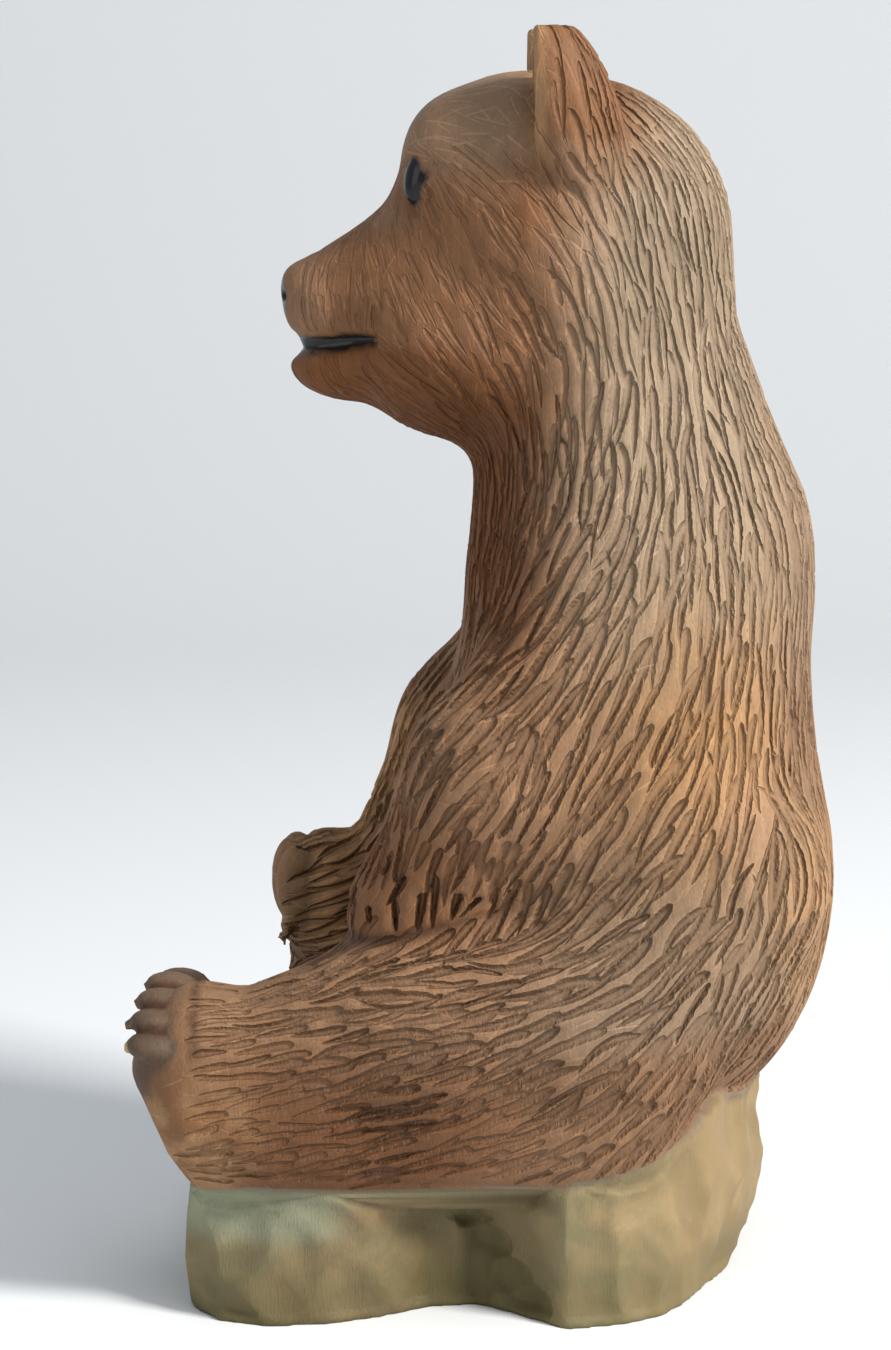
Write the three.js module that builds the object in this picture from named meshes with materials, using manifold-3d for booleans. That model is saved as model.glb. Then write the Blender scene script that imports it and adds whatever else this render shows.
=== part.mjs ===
// A bear carved from one block of wood. It sits on the rough-cut ground that the same block leaves
// under it, with its left leg stretched out, its right leg folded and a paw on the folded knee.
// Frame: +Z up, the origin under the middle of the base, the bear facing -Y, its left side at +X.
import * as THREE from "three";
import { mergeVertices } from "three/addons/utils/BufferGeometryUtils.js";
import Module from "manifold-3d";

// Driving dimensions, in millimetres.
const FIGURE_HEIGHT = 268; // from the top of the base to the tips of the ears
const BASE_HEIGHT = 32; // at the front, the top of the ground under the bear
const BASE_LENGTH = 148; // along Y, at the foot of the base
const BASE_WIDTH = 114; // along X, at the foot of the base
const BASE_MIDDLE = 6.5; // where the middle of the base lies along Y
const GOUGE = { length: 22, width: 5, depth: 2.6 }; // a cut of the fur
const FUR_SPACING = 1; // 1 for the fur as carved, more for a sparser coat
const MOUTH_GAPE = 3.2;
const FOOT_CLAW = 3; // length of a claw beyond its toe
const COLOUR = { wood: "#9a6a45" };

// The figure is squared up on its block as 268 parts from the seat to the ear tips. Every place and
// radius below is in these parts, with z counted from the top of the base.
const PART = FIGURE_HEIGHT / 268;

// Distance from p to an ellipsoid, close to the surface.
function ball(c, r) {
  return (x, y, z) => {
    const a = (x - c[0]) / r[0];
    const b = (y - c[1]) / r[1];
    const d = (z - c[2]) / r[2];
    const near = Math.hypot(a, b, d);
    const steep = Math.hypot(a / r[0], b / r[1], d / r[2]);
    return steep === 0 ? -Math.min(...r) : (near * (near - 1)) / steep;
  };
}

// Distance to a limb that runs from a to b and tapers from radius ra to rb. Flat is how much
// thinner it is along X than along the other two.
function limb(a, ra, b, rb, flat = 1) {
  const span = [(b[0] - a[0]) / flat, b[1] - a[1], b[2] - a[2]];
  const length2 = span[0] ** 2 + span[1] ** 2 + span[2] ** 2;
  return (x, y, z) => {
    const p = [(x - a[0]) / flat, y - a[1], z - a[2]];
    const along = (p[0] * span[0] + p[1] * span[1] + p[2] * span[2]) / length2;
    const t = Math.min(1, Math.max(0, along));
    const off = Math.hypot(p[0] - t * span[0], p[1] - t * span[1], p[2] - t * span[2]);
    return (off - (ra + t * (rb - ra))) * Math.sqrt(flat);
  };
}

// The masses of the bear, each with the width over which it runs into those before it.
const MASSES = [
  ["rump", ball([0, 51, 64], [49, 44, 61]), 1],
  ["belly", ball([0, 34, 70], [45, 42, 60]), 14],
  ["shoulders", ball([0, 47, 124], [45, 41, 50]), 18],
  ["neck", limb([0, 47, 150], 39, [0, 37, 193], 33), 15],
  ["skull", ball([0, 29, 220], [36, 39, 37]), 10],
  ["brow", ball([0, 9, 233], [26, 19, 18]), 8],
  ["forehead", ball([0, 17, 240], [27, 20, 17]), 6],
  ["brow_ridge", limb([-11, 3, 240.5], 11.5, [11, 3, 240.5], 11.5), 5],
  ["jaw", ball([0, 4, 196], [29, 28, 25]), 10],
  ["muzzle", limb([0, -5, 211], 18, [0, -26.5, 204], 12.3, 1.1), 9],
  ["chin", ball([0, -20, 189], [13, 17, 9]), 4],
  ["left_upper_arm", limb([31, 40, 130], 23, [40, 11, 96], 20, 0.85), 12],
  ["left_forearm", limb([40, 11, 96], 20, [33, -6, 62], 16, 0.9), 6],
  ["left_paw", limb([33, -6, 62], 16, [26, -10, 40], 14, 0.9), 6],
  ["right_upper_arm", limb([-31, 40, 128], 23, [-41, 8, 92], 20, 0.85), 12],
  ["right_forearm", limb([-41, 9, 93], 19.5, [-38, -10, 62], 14, 0.9), 6],
  ["right_paw", limb([-37, -30, 54.5], 12.5, [-37, -30, 44], 12, 1.05), 6],
  ["left_haunch", limb([28, 64, 68], 27, [33, 34, 34], 31, 0.85), 5],
  ["left_thigh", limb([33, 34, 34], 31, [36, -6, 32], 28, 0.85), 5],
  ["left_shin", limb([36, -6, 31], 28, [38, -43, 24], 21.5, 0.85), 5],
  ["left_foot", ball([38, -57, 21], [19.5, 17.5, 25.5]), 4],
  ["left_under", limb([35, 34, 14], 23, [38, -46, 12], 20, 0.95), 4],
  ["right_haunch", limb([-28, 64, 68], 27, [-33, 34, 34], 31, 0.85), 5],
  ["right_thigh", limb([-33, 34, 34], 31, [-40, -18.5, 28], 22, 0.9), 5],
  ["right_shin", limb([-38, -17, 18], 20, [-20, -27, 13], 15, 1), 9],
  ["right_foot", limb([-17, -14, 12], 13, [-17, -38, 14], 12, 0.9), 8],
  ["right_under", limb([-35, 34, 14], 23, [-38, -8, 10], 18, 0.95), 4],
];

// Smooth minimum of two distances: they run together over the width k.
function join(a, b, k) {
  const h = Math.max(0, k - Math.abs(a - b)) / k;
  return Math.min(a, b) - (h * h * k) / 4;
}

// Distance to the bear in parts, negative inside.
function bear(x, y, z) {
  return MASSES.reduce((d, [, mass, k], i) => (i ? join(d, mass(x, y, z), k) : mass(x, y, z)), 0);
}

// Slope of a form at p.
function slopeOf(form, [x, y, z]) {
  const e = 0.05;
  return new THREE.Vector3(
    form(x + e, y, z) - form(x - e, y, z),
    form(x, y + e, z) - form(x, y - e, z),
    form(x, y, z + e) - form(x, y, z - e)
  ).divideScalar(2 * e);
}

// Moves a point onto the surface of the form by a few steps down its slope.
function settle(form, p) {
  for (let turn = 0; turn < 4; turn++) {
    const slope = slopeOf(form, p);
    const d = form(...p) / Math.max(0.2, slope.lengthSq());
    p = [p[0] - d * slope.x, p[1] - d * slope.y, p[2] - d * slope.z];
  }
  return p;
}

// Grid lines from low to high, with the step that the place calls for.
function gridLines(low, high, step) {
  const lines = [];
  for (let at = low; at < high; at += step(at)) lines.push(at);
  return [...lines, high];
}

// A closed skin of the form: one point in each grid cell that the surface crosses, and one quad
// round each grid edge that it crosses, as two triangles.
function skin(form, xs, ys, zs) {
  const at = (i, j, k) => (k * ys.length + j) * xs.length + i;
  const value = new Float64Array(xs.length * ys.length * zs.length);
  zs.forEach((z, k) => ys.forEach((y, j) => xs.forEach((x, i) => (value[at(i, j, k)] = form(x, y, z)))));
  const corners = [0, 1, 2, 3, 4, 5, 6, 7].map((c) => [c & 1, (c >> 1) & 1, c >> 2]);
  const edges = corners
    .flatMap((a, m) => corners.map((b, n) => [m, n, a.reduce((sum, v, i) => sum + Math.abs(v - b[i]), 0)]))
    .filter(([m, n, apart]) => m < n && apart === 1);
  const points = [];
  const cell = new Map();
  for (let k = 0; k < zs.length - 1; k++)
    for (let j = 0; j < ys.length - 1; j++)
      for (let i = 0; i < xs.length - 1; i++) {
        const v = corners.map(([a, b, c]) => value[at(i + a, j + b, k + c)]);
        const cuts = edges.filter(([m, n]) => v[m] < 0 !== v[n] < 0);
        if (!cuts.length) continue;
        const place = corners.map(([a, b, c]) => [xs[i + a], ys[j + b], zs[k + c]]);
        const sum = [0, 0, 0];
        for (const [m, n] of cuts) {
          const t = v[m] / (v[m] - v[n]);
          place[m].forEach((p, axis) => (sum[axis] += p + t * (place[n][axis] - p)));
        }
        cell.set(at(i, j, k), points.length);
        points.push(settle(form, sum.map((total) => total / cuts.length)));
      }
  const index = [];
  const far = (a, b) => Math.hypot(...points[a].map((v, i) => v - points[b][i]));
  const step = [[1, 0, 0], [0, 1, 0], [0, 0, 1]];
  for (let k = 1; k < zs.length - 1; k++)
    for (let j = 1; j < ys.length - 1; j++)
      for (let i = 1; i < xs.length - 1; i++)
        step.forEach(([a, b, c], axis) => {
          const inside = value[at(i, j, k)] < 0;
          if (inside === value[at(i + a, j + b, k + c)] < 0) return;
          const [u, w] = [step[(axis + 1) % 3], step[(axis + 2) % 3]];
          const round = [[0, 0], [1, 0], [1, 1], [0, 1]].map(([m, n]) =>
            cell.get(at(i - m * u[0] - n * w[0], j - m * u[1] - n * w[1], k - m * u[2] - n * w[2]))
          );
          if (!inside) round.reverse();
          const [p, q, r, s] = round;
          index.push(...(far(p, r) < far(q, s) ? [p, q, r, p, r, s] : [p, q, s, q, r, s]));
        });
  const geometry = new THREE.BufferGeometry();
  geometry.setAttribute("position", new THREE.Float32BufferAttribute(points.flat(), 3));
  geometry.setIndex(index);
  return geometry;
}

const wasm = await Module();
wasm.setup();

// A three.js geometry as a solid that can be joined and cut.
function solid(geometry) {
  const bare = geometry.clone();
  bare.deleteAttribute("normal");
  bare.deleteAttribute("uv");
  const merged = mergeVertices(bare, 1e-4);
  return new wasm.Manifold(
    new wasm.Mesh({
      numProp: 3,
      vertProperties: merged.attributes.position.array,
      triVerts: new Uint32Array(merged.index.array),
    })
  );
}

// A solid back as a geometry.
function geometryOf(made) {
  const { vertProperties, triVerts } = made.getMesh();
  const geometry = new THREE.BufferGeometry();
  geometry.setAttribute("position", new THREE.BufferAttribute(vertProperties, 3));
  geometry.setIndex(new THREE.BufferAttribute(triVerts, 1));
  return geometry;
}

// A geometry given in parts as a solid in its place on the block.
function onBlock(geometry) {
  return solid(geometry.clone().scale(PART, PART, PART).translate(0, 0, BASE_HEIGHT));
}

// The carver's hand is uneven: a number between -1 and 1 that is always the same for one cut.
function uneven(seed) {
  const wave = Math.sin(seed * 127.1 + 11.7) * 43758.5453;
  return 2 * (wave - Math.floor(wave)) - 1;
}

// An ellipsoid of few facets, turned about its own centre and set at c.
function lump(c, r, turn = [0, 0, 0], facets = 7) {
  const geometry = new THREE.SphereGeometry(1, facets, Math.ceil(facets * 0.7)).scale(...r);
  geometry.applyMatrix4(new THREE.Matrix4().makeRotationFromEuler(new THREE.Euler(...turn)));
  return geometry.translate(...c);
}

// A cone of five sides from a to its point b.
function spike(a, radius, b) {
  const from = new THREE.Vector3(...a);
  const axis = new THREE.Vector3(...b).sub(from);
  const geometry = new THREE.ConeGeometry(radius, axis.length(), 5).translate(0, axis.length() / 2, 0);
  const up = new THREE.Vector3(0, 1, 0);
  geometry.applyQuaternion(new THREE.Quaternion().setFromUnitVectors(up, axis.clone().normalize()));
  return geometry.translate(...a);
}

// One cut of the gouge, centred at p: it enters the surface at a point, deepens and widens as it runs
// along the flow, and stops short.
function gougeCut(form, p, flow, length, width, depth) {
  const out = slopeOf(form, p).normalize();
  const along = flow.clone().addScaledVector(out, -flow.dot(out)).normalize();
  const across = new THREE.Vector3().crossVectors(along, out);
  const wedge = new THREE.ConeGeometry(1, length, 3).scale(width * 0.87, 1, depth);
  wedge.applyMatrix4(new THREE.Matrix4().makeBasis(across, along.negate(), out.negate()));
  return wedge.translate(...p);
}

// The way the hair lies at a place: down the back and the flanks, forward down the arms, back over
// the cheeks, and forward along the thighs to the feet.
function hairAt(x, y, z) {
  const side = Math.sign(x) * 0.12;
  if (z > 178 && y < 24) return new THREE.Vector3(side, 0.75, -0.7);
  if (z > 178) return new THREE.Vector3(side, 0.2, -1);
  if (y > 62 && z > 30) return new THREE.Vector3(0, -0.12, -1);
  if (z < 58 && y > 34) return new THREE.Vector3(0, -0.8, -0.6);
  if (z < 58) return new THREE.Vector3(0, -1, -0.12);
  if (Math.abs(x) < 24 && y < 20) return new THREE.Vector3(0, -0.1, -1);
  return new THREE.Vector3(0, -0.62, -0.8);
}

// Where no fur is cut: the muzzle, the forehead, the ears, the paws' fingers and the foot.
function isBare(x, y, z) {
  const face = y < 8 && z > 180;
  const forehead = z > 236 && y < 26;
  const crown = z > 240 && Math.abs(x) > 12 && y < 42;
  const feet = y < -56 && z < 60;
  const hand = y < -30 && z < 66;
  const under = z < 7;
  const lap = Math.abs(x) < 22 && y < 2 && z < 60;
  return face || forehead || crown || feet || hand || under || lap;
}

// The fur: cuts spread over the skin so that each keeps its distance from the ones before it, with
// more room along the hair than across it.
function furCuts(places) {
  const taken = [];
  const room = FUR_SPACING;
  for (const p of places) {
    if (isBare(...p)) continue;
    const flow = hairAt(...p).normalize();
    const crowded = taken.some(([q]) => {
      const apart = new THREE.Vector3(p[0] - q[0], p[1] - q[1], p[2] - q[2]);
      const along = apart.dot(flow);
      const across = Math.sqrt(Math.max(0, apart.lengthSq() - along * along));
      return Math.hypot(along / 26, across / 13) < room;
    });
    if (!crowded) taken.push([p, flow]);
  }
  return taken.map(([p, flow], i) => {
    const reach = GOUGE.length * (1 + 0.25 * uneven(i));
    const wide = GOUGE.width * (1 + 0.2 * uneven(i + 0.3));
    const turned = flow.applyAxisAngle(new THREE.Vector3(1, 0, 0), 0.16 * uneven(i + 0.6));
    return gougeCut(bear, p, turned, reach, wide, GOUGE.depth);
  });
}

// An ear: a stout upright lobe with a flat tip, hollowed in front. Side is 1 for the left one.
function ear(side) {
  const lobe = onBlock(lump([side * 25, 29, 245], [14, 12, 27], [0.3, side * 0.12, side * -0.1], 11));
  const tip = onBlock(new THREE.BoxGeometry(60, 60, 20).translate(side * 25, 30, 278));
  const front = onBlock(new THREE.BoxGeometry(60, 20, 60).translate(side * 25, 10, 260));
  const hollow = onBlock(lump([side * 26, 17.5, 252], [9.5, 8.5, 13], [0.2, side * 0.12, 0], 9));
  return lobe.subtract(tip).subtract(front).subtract(hollow);
}

// Toes and claws of the stretched foot, in an arc over the top and down the outside.
const TOES = [[22, -62.5, 43], [30, -64.5, 44.5], [37.5, -66, 42], [44, -67, 38], [49, -67.5, 32.5]];
function toes() {
  return TOES.flatMap(([x, y, z], i) => [
    lump([x, y, z], [5.2, 7.4, 4.2], [-0.15, 0, 0.1 * i - 0.2]),
    spike([x, y - 4.5, z + 0.5], 1.9, [x, y - 6.5 - FOOT_CLAW, z - 1]),
  ]);
}

// The fingers and claws of the right paw, which hangs over the folded knee.
function fingers() {
  return [-47, -40.5, -34, -27.5].flatMap((x, i) => [
    lump([x, -37.5 - 1.5 * Math.cos(i - 1.3), 53 + 0.3 * i], [3.7, 5.8, 11], [0.06, 0, 0.1 * i]),
    spike([x, -39, 46], 2.2, [x, -43.6, 34.5]),
  ]);
}

// The fingers of the left paw, which hangs between the thighs.
function hangingFingers() {
  return [16, 22, 28].map((x, i) => lump([x, -17, 34 + 0.3 * i], [3.6, 5.5, 8], [0.5, 0, 0.1 * i]));
}

// The toes of the folded foot, which lies on its outside in front of the belly.
function foldedToes() {
  return [6, 12, 18, 24].map((z, i) => lump([-17 + 0.6 * i, -47, z], [7, 5, 3.8], [0, 0, 0.1 * i]));
}

// The slit of the mouth: short cuts that follow the muzzle round from one cheek to the other.
function mouth() {
  const cuts = [];
  for (let i = -4; i <= 4; i++) {
    const round = i * 0.36;
    const back = 20 * (1 - Math.cos(round));
    const p = settle(bear, [17 * Math.sin(round), back - 38, 193 + 0.14 * back]);
    const flow = new THREE.Vector3(Math.cos(round), Math.sin(round), 0.14 * Math.sin(round));
    cuts.push(gougeCut(bear, p, flow, 14, MOUTH_GAPE, 3));
  }
  return cuts;
}

// The nose: a pad on the end of the muzzle with two nostrils.
function nose() {
  const pad = onBlock(lump([0, -33.5, 207], [9, 5.6, 6.4], [0.25, 0, 0], 9));
  const nostrils = [-1, 1].map((side) => onBlock(lump([side * 4.2, -39.5, 205.5], [2, 2.6, 1.5])));
  return [pad, nostrils];
}

// The eyes: hollows under the brow with a ball in each.
function eyes() {
  return [-1, 1].map((side) => {
    const at = settle(bear, [side * 18, -9, 233]);
    const turn = [0.3, 0, side * 0.75];
    const socket = onBlock(lump(at, [6.2, 3.4, 8], turn));
    const ballOf = onBlock(lump(at, [4.4, 3, 6.2], turn).translate(side * -0.7, 0.9, 0));
    return [socket, ballOf];
  });
}

// The bear without its ground: the skin, the limbs' ends, the face and the fur.
function body() {
  const xs = gridLines(-76, 76, () => 9.5);
  const ys = gridLines(-88, 110, (y) => (y < -14 ? 6.6 : 10.5));
  const zs = gridLines(-20, 272, (z) => (z < 62 ? 8.6 : z > 184 ? 7.2 : 13));
  const form = skin(bear, xs, ys, zs);
  const places = [];
  const corner = form.attributes.position;
  for (let i = 0; i < corner.count; i++) places.push([corner.getX(i), corner.getY(i), corner.getZ(i)]);
  places.sort((a, b) => uneven(a[0] + 2 * a[1] + 3 * a[2]) - uneven(b[0] + 2 * b[1] + 3 * b[2]));
  const sole = onBlock(
    new THREE.BoxGeometry(60, 30, 46)
      .translate(0, -15, 0)
      .rotateX(0.49)
      .translate(38, -67.5, 13)
  );
  const [pad, nostrils] = nose();
  const sockets = eyes();
  const ears = [ear(1), ear(-1)];
  const adds = [toes(), fingers(), hangingFingers(), foldedToes()].flat().map(onBlock);
  const cuts = [...furCuts(places), ...mouth()].map(onBlock);
  let made = onBlock(form).subtract(sole);
  made = wasm.Manifold.union([made, pad, ...ears, ...adds]);
  made = made.subtract(wasm.Manifold.union([...cuts, ...nostrils]));
  made = made.subtract(wasm.Manifold.union(sockets.map(([socket]) => socket)));
  return wasm.Manifold.union([made, ...sockets.map(([, eyeball]) => eyeball)]);
}

// The outline of the base at its foot, as shares of its half width and half length: two lobes on
// each side with a hollow between them, a blunt front and a rounded back.
const FOOTPRINT = [
  [-0.9, -0.86], [0.6, -0.93], [0.93, -0.84], [0.96, -0.45], [0.8, -0.2], [0.7, -0.06], [0.78, 0.1],
  [0.98, 0.22], [1, 0.4], [0.9, 0.6], [0.6, 0.82], [0, 1], [-0.55, 0.86], [-0.95, 0.5], [-0.86, 0.12],
  [-0.98, -0.3], [-1, -0.6],
];

// The ground: a block with a wavy outline, its top rising behind the rump, its sides pared flat in
// broad uneven cuts, and a long chamfer on the corner under the stretched foot.
function ground() {
  const half = [BASE_WIDTH / 2, BASE_LENGTH / 2];
  const outline = FOOTPRINT.map(([x, y]) => new THREE.Vector2(x * half[0], y * half[1] + BASE_MIDDLE));
  const shape = new THREE.Shape(new THREE.SplineCurve([...outline, outline[0]]).getSpacedPoints(34));
  const pared = new THREE.ExtrudeGeometry(shape, { depth: BASE_HEIGHT + 20, steps: 4, bevelEnabled: false });
  const corner = pared.attributes.position;
  for (let i = 0; i < corner.count; i++) {
    const [x, y, z] = [corner.getX(i), corner.getY(i), corner.getZ(i)];
    const inward = 1 - 0.018 * (1 + uneven(Math.round(x) + 3 * Math.round(y) + 7 * Math.round(z)));
    const tuck = 0.2 * Math.max(0, y - 45) * Math.max(0, 1 - z / 16);
    const bevel = z > BASE_HEIGHT && y > 30 ? 0.94 : 1;
    corner.setXYZ(i, x * inward * bevel, BASE_MIDDLE + (y - BASE_MIDDLE) * inward - tuck, z);
  }
  const block = solid(pared);
  const above = new THREE.Shape();
  above.moveTo(-120, BASE_HEIGHT + 1);
  above.lineTo(26, BASE_HEIGHT);
  above.lineTo(48, BASE_HEIGHT + 6);
  above.lineTo(66, BASE_HEIGHT + 16);
  above.lineTo(90, BASE_HEIGHT + 20);
  above.lineTo(120, BASE_HEIGHT + 90);
  above.lineTo(-120, BASE_HEIGHT + 90);
  const sky = solid(
    new THREE.ExtrudeGeometry(above, { depth: 200, bevelEnabled: false })
      .translate(0, 0, -100)
      .applyMatrix4(new THREE.Matrix4().makeBasis(
        new THREE.Vector3(0, 1, 0),
        new THREE.Vector3(0, 0, 1),
        new THREE.Vector3(1, 0, 0)
      ))
  );
  const facet = new THREE.Quaternion().setFromUnitVectors(
    new THREE.Vector3(0, 0, 1),
    new THREE.Vector3(0.88, -0.25, 0.41).normalize()
  );
  const chamfer = solid(
    new THREE.BoxGeometry(80, 80, 30)
      .translate(0, 0, 15)
      .applyQuaternion(facet)
      .translate(0.88 * half[0], BASE_MIDDLE - 0.9 * half[1], BASE_HEIGHT - 13)
  );
  return block.subtract(sky).subtract(chamfer);
}

function carvedBear() {
  return geometryOf(wasm.Manifold.union([body(), ground()]));
}

const group = new THREE.Group();
const wood = new THREE.MeshStandardMaterial({ color: COLOUR.wood, roughness: 0.75, metalness: 0 });
const carved = new THREE.Mesh(carvedBear(), wood);
carved.name = "carved_bear";
group.add(carved);
export default group;
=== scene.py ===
"""A sitting bear carved with its ground from one block of limewood, its fur cut with a gouge."""

import itertools
import math

import bmesh
import bpy
import numpy as np
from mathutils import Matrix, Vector


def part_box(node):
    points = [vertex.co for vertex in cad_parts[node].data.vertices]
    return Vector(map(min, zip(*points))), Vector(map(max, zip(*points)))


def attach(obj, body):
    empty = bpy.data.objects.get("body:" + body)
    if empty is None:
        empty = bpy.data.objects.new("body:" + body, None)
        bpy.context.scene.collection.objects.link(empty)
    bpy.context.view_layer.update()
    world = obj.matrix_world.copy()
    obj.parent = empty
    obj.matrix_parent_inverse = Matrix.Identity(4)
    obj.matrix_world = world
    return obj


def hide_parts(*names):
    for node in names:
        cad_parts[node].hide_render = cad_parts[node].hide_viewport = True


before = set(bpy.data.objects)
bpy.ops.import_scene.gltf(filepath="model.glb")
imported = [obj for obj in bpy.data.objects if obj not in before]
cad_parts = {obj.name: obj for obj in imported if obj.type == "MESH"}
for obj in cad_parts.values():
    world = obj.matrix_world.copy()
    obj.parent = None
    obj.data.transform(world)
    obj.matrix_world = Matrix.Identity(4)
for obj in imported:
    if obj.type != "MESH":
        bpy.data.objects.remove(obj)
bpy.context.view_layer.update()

bl_info = {
    "name": "Carved wooden bear",
    "version": (1, 0, 0),
    "blender": (4, 5, 0),
    "location": "View3D > Sidebar > Carved bear",
    "description": "Carves the fine surface of a sitting wooden bear and sets it on a studio floor",
    "category": "Object",
}

MM = 0.001
NODE = "carved_bear"
BASE_HEIGHT = 32.0  # of the ground under the bear, in millimetres, as all sizes below
EAR_TIP = 268.0  # above the ground
FOOT_CLAW = 3.3
EYE_LEAN = -0.22  # radians, the lower end forward
STROKE_TRIES = 40000  # places tried for a stroke of the fur
PARING_COUNT = 230

# The masses of the bear, z counted from the top of the ground. A limb has two ends and two radii and
# is flattened along X by its last share. Each mass runs into those before it over the last number.
MASSES = [
    ("ball", (0, 51, 64), (49, 44, 61), 1),
    ("ball", (0, 34, 70), (45, 42, 60), 14),
    ("ball", (0, 47, 124), (45, 41, 50), 18),
    ("limb", (0, 47, 150), 39, (0, 37, 193), 33, 1, 15),
    ("ball", (0, 29, 220), (36, 39, 37), 10),
    ("ball", (0, 9, 233), (26, 19, 18), 8),
    ("ball", (0, 17, 240), (27, 20, 17), 6),
    ("limb", (-11, 3, 240.5), 11.5, (11, 3, 240.5), 11.5, 1, 5),
    ("ball", (0, 4, 196), (29, 28, 25), 10),
    ("limb", (0, -5, 211), 18, (0, -26.5, 204), 12.3, 1.1, 9),
    ("ball", (0, -20, 189), (13, 17, 9), 4),
    ("limb", (31, 40, 130), 23, (40, 11, 96), 20, 0.85, 12),
    ("limb", (40, 11, 96), 20, (33, -6, 62), 16, 0.9, 6),
    ("limb", (33, -6, 62), 16, (26, -10, 40), 14, 0.9, 6),
    ("limb", (-31, 40, 128), 23, (-41, 8, 92), 20, 0.85, 12),
    ("limb", (-41, 9, 93), 19.5, (-38, -10, 62), 14, 0.9, 6),
    ("limb", (-37, -30, 54.5), 12.5, (-37, -30, 44), 12, 1.05, 6),
    ("limb", (28, 64, 68), 27, (33, 34, 34), 31, 0.85, 5),
    ("limb", (33, 34, 34), 31, (36, -6, 32), 28, 0.85, 5),
    ("limb", (36, -6, 31), 28, (38, -43, 24), 21.5, 0.85, 5),
    ("ball", (38, -57, 21), (19.5, 17.5, 25.5), 4),
    ("limb", (35, 34, 14), 23, (38, -46, 12), 20, 0.95, 4),
    ("limb", (-28, 64, 68), 27, (-33, 34, 34), 31, 0.85, 5),
    ("limb", (-33, 34, 34), 31, (-40, -18.5, 28), 22, 0.9, 5),
    ("limb", (-38, -17, 18), 20, (-20, -27, 13), 15, 1, 9),
    ("limb", (-17, -14, 12), 13, (-17, -38, 14), 12, 0.9, 8),
    ("limb", (-35, 34, 14), 23, (-38, -8, 10), 18, 0.95, 4),
]

# Toes of the stretched foot, fingers of the right paw, fingers of the left paw and toes of the folded
# foot: centre, radii and turn of each.
TOES = [
    ((x, y, z), (5.2, 6.8, 3.6), (-0.15, 0, 0.1 * i - 0.2))
    for i, (x, y, z) in enumerate(
        [(22, -62.5, 42), (30, -64.5, 43.2), (37.5, -66, 41.3), (44, -67, 38.2), (49, -67.5, 34)]
    )
]
FINGERS = [
    ((x, -37.5 - 1.5 * math.cos(i - 1.3), 53 + 0.3 * i), (3.7, 5.8, 11), (0.06, 0, 0.1 * i))
    for i, x in enumerate([-47, -40.5, -34, -27.5])
]
HANGING = [
    ((x, -17, 34 + 0.3 * i), (3.6, 5.5, 8), (0.5, 0, 0.1 * i)) for i, x in enumerate([16, 22, 28])
]
FOLDED = [
    ((-17 + 0.6 * i, -47, z), (7, 5, 3.8), (0, 0, 0.1 * i)) for i, z in enumerate([6, 12, 18, 24])
]

# How the coat lies, as seen from the side: a place (y, z above the ground), the way the hair runs
# there, and the width, length and depth of one stroke of the gouge.
COAT = [
    ((0, 250), (1, -0.2), 0.8, 8, 0.19), ((10, 232), (0.75, -0.65), 1.0, 11, 0.33),
    ((22, 218), (0.55, -0.83), 1.2, 14, 0.34), ((30, 205), (0.25, -0.97), 1.7, 17, 0.62),
    ((46, 228), (0.25, -1), 1.9, 18, 0.81), ((58, 236), (0.3, -0.95), 1.7, 18, 0.71),
    ((33, 252), (0.12, -1), 1.6, 18, 0.66), ((34, 238), (0.5, -0.9), 1.6, 13, 0.6),
    ((-5, 212), (0.5, -0.85), 1.0, 8, 0.2), ((-28, 201), (0.12, -1), 1.3, 7, 0.18),
    ((-14, 188), (0.85, -0.5), 1.0, 11, 0.33), ((5, 178), (0.4, -0.92), 1.1, 14, 0.42),
    ((10, 155), (0.1, -1), 1.2, 20, 0.85), ((25, 165), (0.0, -1), 1.5, 22, 0.95),
    ((48, 175), (-0.05, -1), 2.1, 22, 0.95), ((66, 180), (0.15, -0.99), 1.8, 23, 0.76),
    ((36, 142), (-0.35, -0.94), 2.2, 22, 1.09), ((18, 124), (-0.6, -0.8), 2.3, 20, 1.19),
    ((0, 100), (-0.62, -0.78), 2.3, 17, 1.19), ((-12, 76), (-0.35, -0.94), 2.1, 12, 1.14),
    ((10, 70), (-0.15, -1), 2.1, 10, 1.14), ((26, 98), (-0.5, -0.86), 2.3, 18, 1.19),
    ((40, 115), (-0.4, -0.9), 2.2, 20, 1.09), ((45, 90), (-0.5, -0.85), 2.2, 18, 1.04),
    ((60, 135), (-0.12, -0.99), 2.2, 22, 0.95), ((78, 135), (0, -1), 1.8, 25, 0.66),
    ((60, 112), (-0.3, -0.95), 2.0, 18, 0.95), ((74, 105), (-0.1, -1), 1.9, 20, 0.76),
    ((84, 80), (-0.05, -1), 2.0, 22, 0.76), ((68, 68), (-0.4, -0.92), 2.4, 20, 1.09),
    ((54, 56), (-0.7, -0.7), 2.4, 18, 1.09), ((36, 46), (-0.88, -0.45), 2.2, 18, 1.15),
    ((12, 50), (-0.97, -0.2), 1.9, 17, 1.1), ((-12, 46), (-0.98, -0.1), 1.9, 17, 1.1),
    ((-36, 40), (-0.97, -0.2), 1.8, 15, 0.95), ((-54, 40), (-0.95, -0.1), 1.5, 11, 0.6),
    ((-12, 28), (-0.95, -0.25), 2.0, 17, 1.15), ((-36, 16), (-0.98, -0.15), 1.6, 10, 0.5),
    ((26, 28), (-0.85, -0.5), 2.2, 18, 1.25), ((48, 28), (-0.7, -0.7), 2.4, 18, 1.04),
    ((70, 38), (-0.4, -0.9), 2.2, 18, 0.95), ((48, 12), (-0.75, -0.65), 2.2, 14, 0.95),
    ((10, 12), (-0.95, -0.3), 1.8, 11, 0.57),
]

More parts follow.
